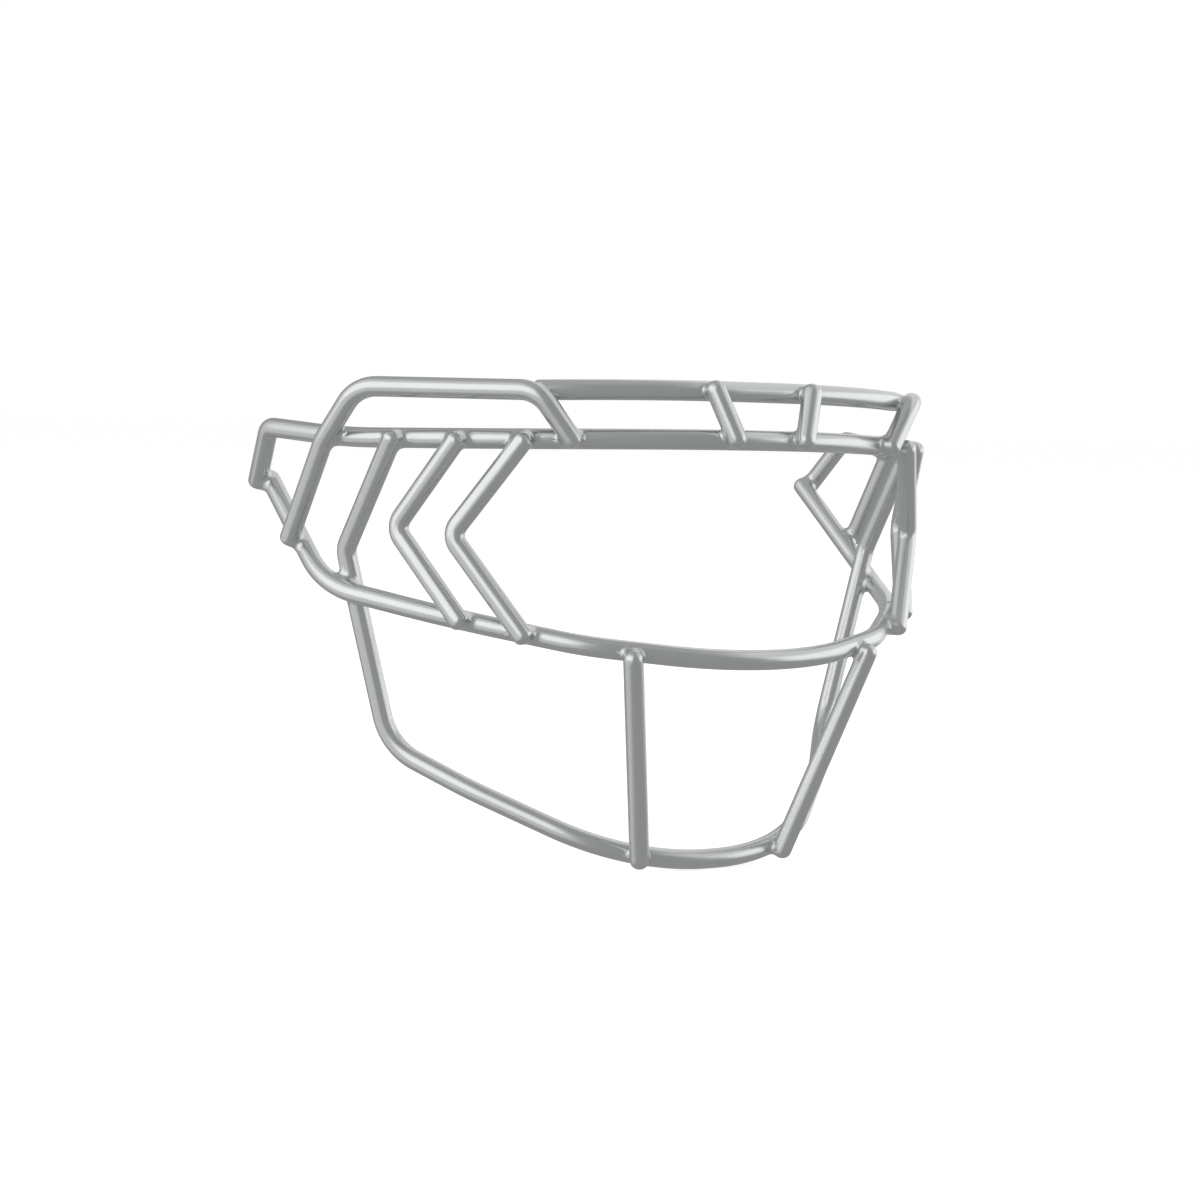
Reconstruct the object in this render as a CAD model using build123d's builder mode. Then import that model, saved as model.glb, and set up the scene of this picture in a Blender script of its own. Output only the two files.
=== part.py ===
from build123d import *
import os
from math import acos, ceil, cos, pi, radians, sin, tan

# Wire face guard of a football helmet: fourteen bent steel wires, welded where they cross.
#
# Millimetres. Z is up, the front of the guard looks along -Y, and X = 0 is the mirror plane.
# The origin lies on the brow wire's centreline at the front. The wearer's right is -X. Every
# wire is laid out for the right half first, and the left half is its mirror image.
#
# Three long wires carry the rest. The brow wire goes round above the eyes, the jaw wire round
# below them, and the chin wire hangs from both. Everything else is placed by its welds: a
# station on the wire that carries it, measured along that wire from the mirror plane.
#
# To keep the model light, the round wire has sixteen flats and the round wire's area, and its
# bends are short straight runs that stay within a tenth of a millimetre of the true curve.
# Each of the thirty welds is a web of metal in the gaps beside the crossing of two wires.

# Wire stock and welds
wire_diameter = 6.5
wire_flats = 16
weld_set = 1.0
weld_width = 3.3
weld_length = 6.0
weld_depth = 2.4
end_bevel = 1.5
end_straight = 2.5
wire_end = 3.0
chevron_end = 2.2
tight_bend = 5.5
bend_error = 0.1
bend_step = 10

# Brow wire, from the foot of its tail to the front
brow_tail_half_width = 115.5
brow_tail_depth = 134.0
brow_tail_drop = 19.0
brow_corner_half_width = 119.0
brow_corner_depth = 116.5
brow_side_half_width = 108.5
brow_side_depth = 79.0
brow_side_dip = 2.5
brow_side_bend = 105.0
brow_shoulder_half_width = 83.0
brow_shoulder_depth = 31.0
brow_shoulder_dip = 1.5
brow_shoulder_bend = 93.0
brow_front_half_width = 24.0
brow_front_bend = 100.0

# Jaw wire, from its start on the tail to the front
tail_station = 3.0
tail_weld_set = 1.6
jaw_end = 1.2
jaw_rear_half_width = 111.0
jaw_rear_depth = 87.0
jaw_rear_drop = 51.0
jaw_rear_bend = 25.0
jaw_side_half_width = 88.5
jaw_side_depth = 44.5
jaw_side_drop = 58.5
jaw_side_bend = 125.0
jaw_shoulder_half_width = 57.0
jaw_shoulder_depth = 13.0
jaw_shoulder_drop = 65.5
jaw_shoulder_bend = 55.0
jaw_front_half_width = 18.5
jaw_front_reach = 6.5
jaw_front_drop = 69.5
jaw_front_bend = 80.0

# Chin wire, from its weld on the brow wire to the chin
chin_brow_station = 121.0
chin_jaw_station = 149.0
chin_kink_rise = 11.0
chin_kink_bend = 8.0
chin_corner_half_width = 88.5
chin_corner_depth = 83.5
chin_corner_drop = 104.5
chin_corner_bend = 19.0
chin_side_half_width = 70.5
chin_side_depth = 61.0
chin_side_drop = 116.5
chin_side_bend = 95.0
chin_front_half_width = 30.5
chin_front_depth = 23.0
chin_front_drop = 138.0
chin_front_bend = 67.0

# Side loops, welded to the jaw wire once and to the brow wire twice
loop_jaw_station = 178.5
loop_rear_station = 146.5
loop_front_station = 63.5
loop_height = 14.0
loop_kink_drop = 1.5
loop_kink_bend = 28.0
loop_rear_half_width = 112.5
loop_rear_depth = 69.5
loop_rear_bend = 15.0
loop_front_half_width = 73.0
loop_front_depth = 17.5

# Top bar, from one side loop to the other
top_bar_lap = 4.2
top_bar_inset = 32.5
top_bar_bow = 12.5
top_bar_rise = 1.3
top_bar_bend = 118.0

# Chevrons, from the brow wire to the jaw wire
rear_chevron_brow_station = 98.0
rear_chevron_jaw_station = 100.5
rear_chevron_spread = 16.2
rear_chevron_setback = 17.7
front_chevron_brow_station = 77.5
front_chevron_jaw_station = 79.5
front_chevron_spread = 20.3
front_chevron_setback = 14.1

# Straight uprights, short ones above the eyes and long ones below the mouth
short_upright_top_station = 18.5
short_upright_brow_station = 13.0
long_upright_jaw_station = 45.5
long_upright_chin_station = 26.5

# Share of a straight run that the bend at each of its ends may use up
run_share = 0.49

flat_angle = 2 * pi / wire_flats
corner_radius = wire_diameter / 2 * (flat_angle / sin(flat_angle)) ** 0.5
seat = wire_diameter - weld_set
up = Vector(0, 0, 1)


def mirrored(point):
    """The same place on the other side of the mirror plane."""
    return Vector(-point.X, point.Y, point.Z)


def whole(points, bends):
    """Bend points and bend radii of a wire that crosses the mirror plane, from its right half."""
    return points + [mirrored(point) for point in reversed(points)], bends + bends[::-1]


def lay_runs(points, bends):
    """Straight runs through the bend points, with each bend a row of short ones."""
    points = [Vector(*point) for point in points]
    runs = [after - before for before, after in zip(points, points[1:])]
    last = len(runs) - 1
    pieces = []
    start = points[0]
    for index, radius in enumerate(bends):
        before, after = runs[index], runs[index + 1]
        turn = radians(before.get_angle(after))
        room_before = before.length * run_share if index > 0 else before.length - end_straight
        room_after = after.length * run_share if index + 1 < last else after.length - end_straight
        setback = min(radius * tan(turn / 2), room_before, room_after)
        true_radius = setback / tan(turn / 2)
        entry = points[index + 1] - before.normalized() * setback
        inward = (after.normalized() - before.normalized()).normalized()
        centre = points[index + 1] + inward * (true_radius**2 + setback**2) ** 0.5
        spoke, forward = entry - centre, before.normalized() * true_radius
        step = min(radians(bend_step), 2 * acos(1 - bend_error / true_radius))
        count = ceil(turn / step)
        pieces.append(Line(start, entry))
        start = entry
        for number in range(1, count + 1):
            turned = turn * number / count
            point = centre + spoke * cos(turned) + forward * sin(turned)
            pieces.append(Line(start, point))
            start = point
    pieces.append(Line(start, points[-1]))
    return pieces


def route(points, bends):
    """The centreline of one wire as a list of edges."""
    with BuildLine():
        pieces = lay_runs(points, bends)
    return pieces


def at_station(pieces, distance):
    """Point and direction on a centreline, a distance along it from its first point."""
    for piece in pieces:
        if distance <= piece.length or piece is pieces[-1]:
            share = distance / piece.length
            return piece @ share, piece % share
        distance -= piece.length


def from_middle(pieces, station):
    """Point and direction on the right half of a whole wire, a station from the mirror plane."""
    half_length = sum(piece.length for piece in pieces) / 2
    return at_station(pieces, half_length - station)


def seat_beside(carrier, heading, side, sunk=weld_set):
    """Centre of a wire that is pressed against another: outside it for side 1, inside for -1."""
    point, along = carrier
    level_out = Vector(along.Y, -along.X, 0)
    press = along.cross(heading).normalized()
    if press.dot(level_out) < 0:
        press = -press
    return point + press * (wire_diameter - sunk) * side


def weld_web(carrier, heading, seat_point):
    """Plane midway between two crossing wires, and a web's corners in it, its sides along them."""
    point, along = carrier
    between = along.normalized() + heading.normalized()
    middle = Plane(origin=(point + seat_point) / 2, x_dir=between, z_dir=seat_point - point)
    slant = radians(along.get_angle(heading)) / 2
    ahead = min(weld_width / sin(slant), weld_length)
    aside = min(weld_width / cos(slant), weld_length)
    return middle, [(ahead, 0), (0, aside), (-ahead, 0), (0, -aside)]


def past(near, far, overrun):
    """The point on the line from near to far that lies an overrun beyond far."""
    return far + (far - near).normalized() * overrun


def bent_wire(points, bends):
    """One wire, swept along its centreline with mitred corners, both ends bevelled."""
    first, last = Vector(*points[0]), Vector(*points[-1])
    with BuildPart() as wire:
        with BuildLine():
            lay_runs(points, bends)
        with BuildSketch(Plane(origin=first, z_dir=Vector(*points[1]) - first)):
            RegularPolygon(corner_radius, wire_flats)
        sweep(transition=Transition.RIGHT)
        for end in (first, last):
            tip = wire.faces().sort_by_distance(end)[0]
            chamfer(tip.edges(), end_bevel)
    return wire.part


# Brow wire: a tail bent down behind each temple and a shallow arch across the forehead
brow_half = [
    Vector(-brow_tail_half_width, brow_tail_depth, -brow_tail_drop),
    Vector(-brow_corner_half_width, brow_corner_depth, 0),
    Vector(-brow_side_half_width, brow_side_depth, -brow_side_dip),
    Vector(-brow_shoulder_half_width, brow_shoulder_depth, -brow_shoulder_dip),
    Vector(-brow_front_half_width, 0, 0),
]
brow_bends = [tight_bend, brow_side_bend, brow_shoulder_bend, brow_front_bend]
brow_points, brow_bends = whole(brow_half, brow_bends)
brow_route = route(brow_points, brow_bends)

with BuildPart() as brow_wire:
    add(bent_wire(brow_points, brow_bends))

# Jaw wire: welded inside the brow wire's tails, then down, forward and round the mouth
jaw_half = [
    Vector(-jaw_rear_half_width, jaw_rear_depth, -jaw_rear_drop),
    Vector(-jaw_side_half_width, jaw_side_depth, -jaw_side_drop),
    Vector(-jaw_shoulder_half_width, jaw_shoulder_depth, -jaw_shoulder_drop),
    Vector(-jaw_front_half_width, -jaw_front_reach, -jaw_front_drop),
]
jaw_bends = [jaw_rear_bend, jaw_side_bend, jaw_shoulder_bend, jaw_front_bend]
tail_carrier = at_station(brow_route, tail_station)
tail_seat = seat_beside(tail_carrier, tail_carrier[0] - jaw_half[0], -1, tail_weld_set)
jaw_half = [past(jaw_half[0], tail_seat, jaw_end)] + jaw_half
jaw_points, jaw_bends = whole(jaw_half, jaw_bends)
jaw_route = route(jaw_points, jaw_bends)

with BuildPart() as jaw_wire:
    add(bent_wire(jaw_points, jaw_bends))
    add(brow_wire.part, mode=Mode.SUBTRACT)

# Chin wire: outside the brow wire, kinked, inside the jaw wire, then down and under the chin
chin_half = [
    Vector(-chin_corner_half_width, chin_corner_depth, -chin_corner_drop),
    Vector(-chin_side_half_width, chin_side_depth, -chin_side_drop),
    Vector(-chin_front_half_width, chin_front_depth, -chin_front_drop),
]
chin_bends = [chin_kink_bend, chin_corner_bend, chin_side_bend, chin_front_bend]
chin_jaw_carrier = from_middle(jaw_route, chin_jaw_station)
chin_jaw_seat = seat_beside(chin_jaw_carrier, chin_jaw_carrier[0] - chin_half[0], -1)
chin_kink = past(chin_half[0], chin_jaw_seat, chin_kink_rise)
chin_brow_carrier = from_middle(brow_route, chin_brow_station)
chin_brow_seat = seat_beside(chin_brow_carrier, chin_brow_carrier[0] - chin_kink, 1)
chin_half = [past(chin_kink, chin_brow_seat, wire_end), chin_kink] + chin_half
chin_points, chin_bends = whole(chin_half, chin_bends)
chin_route = route(chin_points, chin_bends)

with BuildPart() as chin_wire:
    add(bent_wire(chin_points, chin_bends))
    add(brow_wire.part, mode=Mode.SUBTRACT)
    add(jaw_wire.part, mode=Mode.SUBTRACT)

# Side loops: up from the jaw wire past the brow wire, forward above it and down onto it
loop_jaw_carrier = from_middle(jaw_route, loop_jaw_station)
loop_rear_carrier = from_middle(brow_route, loop_rear_station)
loop_rise = loop_rear_carrier[0] - loop_jaw_carrier[0]
loop_jaw_seat = seat_beside(loop_jaw_carrier, loop_rise, 1)
loop_rear_seat = seat_beside(loop_rear_carrier, loop_rise, 1)
loop_rear_corner = Vector(-loop_rear_half_width, loop_rear_depth, loop_height)
loop_front_corner = Vector(-loop_front_half_width, loop_front_depth, loop_height)
loop_front_carrier = from_middle(brow_route, loop_front_station)
loop_fall = loop_front_carrier[0] - loop_front_corner
loop_front_seat = seat_beside(loop_front_carrier, loop_fall, 1)
loop_points = [
    past(loop_rear_seat, loop_jaw_seat, wire_end),
    past(loop_jaw_seat, loop_rear_seat, -loop_kink_drop),
    loop_rear_corner,
    loop_front_corner,
    past(loop_front_corner, loop_front_seat, wire_end),
]
loop_bends = [loop_kink_bend, loop_rear_bend, tight_bend]

with BuildPart() as side_loop_right:
    add(bent_wire(loop_points, loop_bends))
    add(brow_wire.part, mode=Mode.SUBTRACT)
    add(jaw_wire.part, mode=Mode.SUBTRACT)

with BuildPart() as side_loop_left:
    mirror(side_loop_right.part, about=Plane.YZ)

# Top bar: bowed forward, its ends laid along the inside of the two loops
loop_top = loop_rear_corner - loop_front_corner
loop_inward = loop_top.cross(up).normalized()
loop_lap = loop_top.normalized() * top_bar_lap
top_bar_half = [
    loop_front_corner + loop_lap + loop_inward * seat,
    loop_front_corner + Vector(top_bar_inset, -top_bar_bow, top_bar_rise),
]
top_bar_points, top_bar_bends = whole(top_bar_half, [top_bar_bend])
top_bar_route = route(top_bar_points, top_bar_bends)

with BuildPart() as top_bar:
    add(bent_wire(top_bar_points, top_bar_bends))
    add(side_loop_right.part, mode=Mode.SUBTRACT)
    add(side_loop_left.part, mode=Mode.SUBTRACT)


def chevron(brow_station, jaw_station, spread, setback):
    """Bend points of an upright whose elbow points back, and its seats on brow and jaw wire."""
    upper = from_middle(brow_route, brow_station)
    lower = from_middle(jaw_route, jaw_station)
    elbow = (upper[0] + lower[0]) / 2 + Vector(-spread, setback, 0)
    upper_seat = seat_beside(upper, upper[0] - elbow, 1)
    lower_seat = seat_beside(lower, lower[0] - elbow, 1)
    points = [past(elbow, upper_seat, chevron_end), elbow, past(elbow, lower_seat, chevron_end)]
    upper_weld = weld_web(upper, upper[0] - elbow, upper_seat)
    return points, upper_weld, weld_web(lower, lower[0] - elbow, lower_seat)


rear_chevron_points, rear_brow_weld, rear_jaw_weld = chevron(
    rear_chevron_brow_station, rear_chevron_jaw_station, rear_chevron_spread, rear_chevron_setback
)
front_chevron_points, front_brow_weld, front_jaw_weld = chevron(
    front_chevron_brow_station,
    front_chevron_jaw_station,
    front_chevron_spread,
    front_chevron_setback,
)

with BuildPart() as rear_chevron_right:
    add(bent_wire(rear_chevron_points, [tight_bend]))
    add(brow_wire.part, mode=Mode.SUBTRACT)
    add(jaw_wire.part, mode=Mode.SUBTRACT)

with BuildPart() as rear_chevron_left:
    mirror(rear_chevron_right.part, about=Plane.YZ)

with BuildPart() as front_chevron_right:
    add(bent_wire(front_chevron_points, [tight_bend]))
    add(brow_wire.part, mode=Mode.SUBTRACT)
    add(jaw_wire.part, mode=Mode.SUBTRACT)

with BuildPart() as front_chevron_left:
    mirror(front_chevron_right.part, about=Plane.YZ)


def upright(upper, lower):
    """End points of a straight upright in front of two wires, and its seats on them."""
    fall = lower[0] - upper[0]
    upper_seat = seat_beside(upper, fall, 1)
    lower_seat = seat_beside(lower, fall, 1)
    points = [past(lower_seat, upper_seat, wire_end), past(upper_seat, lower_seat, wire_end)]
    return points, weld_web(upper, fall, upper_seat), weld_web(lower, fall, lower_seat)


short_upright_points, short_top_weld, short_brow_weld = upright(
    from_middle(top_bar_route, short_upright_top_station),
    from_middle(brow_route, short_upright_brow_station),
)
long_upright_points, long_jaw_weld, long_chin_weld = upright(
    from_middle(jaw_route, long_upright_jaw_station),
    from_middle(chin_route, long_upright_chin_station),
)

with BuildPart() as short_upright_right:
    add(bent_wire(short_upright_points, []))
    add(top_bar.part, mode=Mode.SUBTRACT)
    add(brow_wire.part, mode=Mode.SUBTRACT)

with BuildPart() as short_upright_left:
    mirror(short_upright_right.part, about=Plane.YZ)

with BuildPart() as long_upright_right:
    add(bent_wire(long_upright_points, []))
    add(jaw_wire.part, mode=Mode.SUBTRACT)
    add(chin_wire.part, mode=Mode.SUBTRACT)

with BuildPart() as long_upright_left:
    mirror(long_upright_right.part, about=Plane.YZ)

# Welds: metal in the gaps beside each crossing, cut to the two wires that it joins
bar_tip = (loop_front_corner + loop_lap + loop_top.normalized() * weld_set, loop_top)
bar_heading = Vector(*top_bar_half[0]) - Vector(*top_bar_half[1])
tail_heading = tail_carrier[0] - jaw_half[1]
weld_places = {
    "tail": (weld_web(tail_carrier, tail_heading, tail_seat), brow_wire, jaw_wire),
    "chin_brow": (
        weld_web(chin_brow_carrier, chin_brow_carrier[0] - chin_kink, chin_brow_seat),
        brow_wire,
        chin_wire,
    ),
    "chin_jaw": (
        weld_web(chin_jaw_carrier, chin_jaw_carrier[0] - chin_half[2], chin_jaw_seat),
        jaw_wire,
        chin_wire,
    ),
    "loop_jaw": (
        weld_web(loop_jaw_carrier, loop_rise, loop_jaw_seat),
        jaw_wire,
        side_loop_right,
    ),
    "loop_rear": (
        weld_web(loop_rear_carrier, loop_rise, loop_rear_seat),
        brow_wire,
        side_loop_right,
    ),
    "loop_front": (
        weld_web(loop_front_carrier, loop_fall, loop_front_seat),
        brow_wire,
        side_loop_right,
    ),
    "top_bar": (
        weld_web(bar_tip, bar_heading, bar_tip[0] + loop_inward * seat),
        side_loop_right,
        top_bar,
    ),
    "rear_chevron_brow": (rear_brow_weld, brow_wire, rear_chevron_right),
    "rear_chevron_jaw": (rear_jaw_weld, jaw_wire, rear_chevron_right),
    "front_chevron_brow": (front_brow_weld, brow_wire, front_chevron_right),
    "front_chevron_jaw": (front_jaw_weld, jaw_wire, front_chevron_right),
    "short_upright_top": (short_top_weld, top_bar, short_upright_right),
    "short_upright_brow": (short_brow_weld, brow_wire, short_upright_right),
    "long_upright_jaw": (long_jaw_weld, jaw_wire, long_upright_right),
    "long_upright_chin": (long_chin_weld, chin_wire, long_upright_right),
}

os.makedirs("parts", exist_ok=True)
for place, ((middle_plane, corners), carrier_wire, seated_wire) in weld_places.items():
    with BuildPart() as weld_right:
        with BuildSketch(middle_plane):
            Polygon(*corners)
        extrude(amount=weld_depth / 2, both=True)
        add(carrier_wire.part, mode=Mode.SUBTRACT)
        add(seated_wire.part, mode=Mode.SUBTRACT)
    with BuildPart() as weld_left:
        mirror(weld_right.part, about=Plane.YZ)
    weld_right.part.label = f"weld_{place}_right"
    export_step(weld_right.part, f"parts/weld_{place}_right.step")
    weld_left.part.label = f"weld_{place}_left"
    export_step(weld_left.part, f"parts/weld_{place}_left.step")

brow_wire.part.label = "brow_wire"
export_step(brow_wire.part, "parts/brow_wire.step")
jaw_wire.part.label = "jaw_wire"
export_step(jaw_wire.part, "parts/jaw_wire.step")
chin_wire.part.label = "chin_wire"
export_step(chin_wire.part, "parts/chin_wire.step")
top_bar.part.label = "top_bar"
export_step(top_bar.part, "parts/top_bar.step")
side_loop_right.part.label = "side_loop_right"
export_step(side_loop_right.part, "parts/side_loop_right.step")
side_loop_left.part.label = "side_loop_left"
export_step(side_loop_left.part, "parts/side_loop_left.step")
rear_chevron_right.part.label = "rear_chevron_right"
export_step(rear_chevron_right.part, "parts/rear_chevron_right.step")
rear_chevron_left.part.label = "rear_chevron_left"
export_step(rear_chevron_left.part, "parts/rear_chevron_left.step")
front_chevron_right.part.label = "front_chevron_right"
export_step(front_chevron_right.part, "parts/front_chevron_right.step")
front_chevron_left.part.label = "front_chevron_left"
export_step(front_chevron_left.part, "parts/front_chevron_left.step")
short_upright_right.part.label = "short_upright_right"
export_step(short_upright_right.part, "parts/short_upright_right.step")
short_upright_left.part.label = "short_upright_left"
export_step(short_upright_left.part, "parts/short_upright_left.step")
long_upright_right.part.label = "long_upright_right"
export_step(long_upright_right.part, "parts/long_upright_right.step")
long_upright_left.part.label = "long_upright_left"
export_step(long_upright_left.part, "parts/long_upright_left.step")
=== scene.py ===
"""Wire face guard of a football helmet: fourteen coated steel wires, welded where they cross.

Guard and camera are laid out in millimetres, and MM brings their places to the scene's metres.
Finishes, floor and lights are in metres. Z is up, the front of the guard looks along -Y, and
X = 0 is the mirror plane, with the wearer's right at -X. The origin lies on the brow wire's
centreline at the front.

Every wire is a round rod along a true centreline of straight runs and arcs, and stands for one
solid of the frame. Every weld is a fillet of metal grown round the crossing of two rods.

A station is a distance along a wire from the mirror plane. An end is how far a wire runs on past
its last crossing, and a set is how far two wires sink into each other at a weld.
"""

import logging
from dataclasses import dataclass, field, replace
from enum import Enum
from math import ceil, cos, pi, radians, sin, sqrt, tan

import bmesh
import bpy
import numpy as np
from mathutils import Matrix, Vector


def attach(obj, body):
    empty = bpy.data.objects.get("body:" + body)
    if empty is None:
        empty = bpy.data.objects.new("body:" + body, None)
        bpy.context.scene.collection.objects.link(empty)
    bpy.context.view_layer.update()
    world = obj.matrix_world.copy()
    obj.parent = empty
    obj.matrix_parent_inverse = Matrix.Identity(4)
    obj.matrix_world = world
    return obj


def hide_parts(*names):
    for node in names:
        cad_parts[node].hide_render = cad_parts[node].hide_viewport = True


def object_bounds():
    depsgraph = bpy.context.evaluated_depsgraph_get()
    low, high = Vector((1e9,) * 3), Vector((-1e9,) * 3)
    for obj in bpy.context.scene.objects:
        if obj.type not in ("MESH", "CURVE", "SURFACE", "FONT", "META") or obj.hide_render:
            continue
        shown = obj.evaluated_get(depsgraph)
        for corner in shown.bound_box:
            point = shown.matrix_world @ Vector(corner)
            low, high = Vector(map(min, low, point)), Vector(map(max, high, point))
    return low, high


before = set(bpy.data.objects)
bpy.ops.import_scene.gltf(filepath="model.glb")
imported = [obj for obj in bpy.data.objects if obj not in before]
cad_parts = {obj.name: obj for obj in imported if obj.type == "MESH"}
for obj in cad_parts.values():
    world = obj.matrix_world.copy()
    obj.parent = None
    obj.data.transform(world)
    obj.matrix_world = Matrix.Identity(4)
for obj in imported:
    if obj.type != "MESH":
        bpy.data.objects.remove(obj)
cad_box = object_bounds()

LOG = logging.getLogger("face_guard")
MM = 0.001
BODY = "root"
UP = Vector((0, 0, 1))
WHITE = (1, 1, 1, 1)


class Side(Enum):
    """Half of the guard, by the wearer. Points are laid out for the right half."""

    RIGHT = ("right", 1)
    LEFT = ("left", -1)

    @property
    def word(self) -> str:
        """The side's ending in a piece's name."""
        return self.value[0]

    @property
    def sign(self) -> int:
        """What a point's X is multiplied by: 1 keeps the point, and -1 mirrors it."""
        return self.value[1]


class Face(Enum):
    """Face of a carrying wire that another wire is pressed against."""

    OUTSIDE = 1
    INSIDE = -1


class Finish(Enum):
    """Material slots of the record."""

    COAT = "silver_coat"
    WELD = "weld_coat"


@dataclass(frozen=True)
class WireStock:
    """The wire that the whole guard is bent from, and how a rod's mesh is divided.

    A bend may use up run_share of a leg between two corners, and of a leg at the wire's end all
    but end_straight. Rings keep ring_gap away from a rounded end.
    """

    diameter: float = 6.5
    end_round: float = 2.2
    end_straight: float = 2.5
    wire_end: float = 3.0
    tight_bend: float = 5.5
    weld_set: float = 1.0
    run_share: float = 0.49
    sides: int = 40
    run_step: float = 4.0
    arc_step: float = 1.0
    least_arc_steps: int = 2
    end_rings: int = 7
    ring_gap: float = 0.3

    @property
    def radius(self) -> float:
        """Half the wire's diameter."""
        return self.diameter / 2


STOCK = WireStock()
ROUND_ENDED = replace(STOCK, end_round=3.0)


@dataclass(frozen=True)
class Place:
    """A point on a wire's centreline and the direction that the wire has there."""

    point: Vector
    heading: Vector


@dataclass(frozen=True)
class Run:
    """Straight stretch of a centreline."""

    start: Vector
    heading: Vector
    length: float

    def at(self, distance: float) -> Place:
        """The place a distance along the run."""
        return Place(self.start + self.heading * distance, self.heading)

    def count(self, stock: WireStock) -> int:
        """Steps that the run's mesh is divided into."""
        return max(1, ceil(self.length / stock.run_step))


@dataclass(frozen=True)
class Arc:
    """Bend of a centreline: a circular arc that both its runs touch."""

    centre: Vector
    spoke: Vector
    heading: Vector
    radius: float
    turn: float

    @property
    def length(self) -> float:
        """The arc's length along the centreline."""
        return self.radius * self.turn

    def at(self, distance: float) -> Place:
        """The place a distance along the arc.

        Args:
            distance: millimetres from the arc's start.

        Returns:
            The point and the wire's direction there.
        """
        angle = distance / self.radius
        point = self.centre + self.spoke * cos(angle) + self.heading * self.radius * sin(angle)
        forward = self.heading * cos(angle) - self.spoke / self.radius * sin(angle)
        return Place(point, forward.normalized())

    def count(self, stock: WireStock) -> int:
        """Steps that the arc's mesh is divided into."""
        return max(stock.least_arc_steps, ceil(self.length / stock.arc_step))


class Centreline:
    """Middle of one bent wire: straight runs joined by arcs."""

    def __init__(self, points: list[Vector], bends: list[float], stock: WireStock = STOCK) -> None:
        """Lays the runs and arcs.

        Args:
            points: both ends, and the corners between them that the bends round off.
            bends: the bend radius at each corner. A bend that lacks room is made tighter.
            stock: the wire.
        """
        self.stock = stock
        self.stretches: list[Run | Arc] = []
        legs = [after - before for before, after in zip(points, points[1:])]
        start = points[0]
        for index, radius in enumerate(bends):
            before, after = legs[index], legs[index + 1]
            turn = before.angle(after)
            setback = min(
                radius * tan(turn / 2),
                self._room(before.length, index == 0),
                self._room(after.length, index + 2 == len(legs)),
            )
            true_radius = setback / tan(turn / 2)
            ahead = before.normalized()
            entry = points[index + 1] - ahead * setback
            inward = (after.normalized() - ahead).normalized()
            centre = points[index + 1] + inward * sqrt(true_radius**2 + setback**2)
            self.stretches.append(Run(start, ahead, (entry - start).length))
            self.stretches.append(Arc(centre, entry - centre, ahead, true_radius, turn))
            start = points[index + 1] + after.normalized() * setback
        last = points[-1] - start
        self.stretches.append(Run(start, last.normalized(), last.length))

    def _room(self, length: float, at_end: bool) -> float:
        """The most of a leg that one bend may use up."""
        return length - self.stock.end_straight if at_end else length * self.stock.run_share

    @property
    def length(self) -> float:
        """Length of the whole centreline."""
        return sum(stretch.length for stretch in self.stretches)

    def at(self, distance: float) -> Place:
        """The place on the wire, a distance along it from its first point.

        Args:
            distance: millimetres along the centreline.

        Returns:
            The point and the wire's direction there.
        """
        for stretch in self.stretches:
            if distance <= stretch.length or stretch is self.stretches[-1]:
                return stretch.at(distance)
            distance -= stretch.length
        raise ValueError("a centreline has no stretches")

    def from_middle(self, station: float) -> Place:
        """The place on the right half of a whole wire, a station away from the mirror plane."""
        return self.at(self.length / 2 - station)

    def places(self) -> list[tuple[float, Place]]:
        """Distance and place of every ring that the wire's mesh needs, from end to end.

        Returns:
            Pairs of a distance along the centreline and the place there.
        """
        found = [(0.0, self.stretches[0].at(0.0))]
        passed = 0.0
        for stretch in self.stretches:
            steps = stretch.count(self.stock)
            for number in range(1, steps + 1):
                along = stretch.length * number / steps
                found.append((passed + along, stretch.at(along)))
            passed += stretch.length
        return found


def corner_at(x: float, y: float, z: float) -> Vector:
    """Default of a dataclass field that holds a corner of a wire on the right half."""
    return field(default_factory=lambda: Vector((x, y, z)))


def mirrored(point: Vector) -> Vector:
    """The same place on the other side of the mirror plane."""
    return Vector((-point.x, point.y, point.z))


def whole(points: list[Vector], bends: list[float]) -> Centreline:
    """A wire that crosses the mirror plane.

    Args:
        points: its corners on the right half, from its end towards the middle.
        bends: the bend radius at every corner of that half.

    Returns:
        The centreline of the whole wire.
    """
    left_half = [mirrored(point) for point in reversed(points)]
    return Centreline(points + left_half, bends + bends[::-1])


def seat_beside(
    carrier: Place, heading: Vector, face: Face, sunk: float = STOCK.weld_set
) -> Vector:
    """Centre of a wire that is pressed against another.

    Args:
        carrier: place on the wire that carries it.
        heading: direction of the pressed wire.
        face: the carrier's face that it is pressed against.
        sunk: how far the two sink into each other.

    Returns:
        The point on the pressed wire's centreline that is nearest to the carrier.
    """
    along = carrier.heading
    level_out = Vector((along.y, -along.x, 0))
    press = along.cross(heading).normalized()
    if press.dot(level_out) < 0:
        press = -press
    return carrier.point + press * (STOCK.diameter - sunk) * face.value


def past(near: Vector, far: Vector, overrun: float) -> Vector:
    """The point on the line from near to far that lies an overrun beyond far."""
    return far + (far - near).normalized() * overrun


def midway(place: Place, seat: Vector) -> Vector:
    """Middle of a crossing, between a place on the carrier and the seat beside it."""
    return (place.point + seat) / 2


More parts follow.
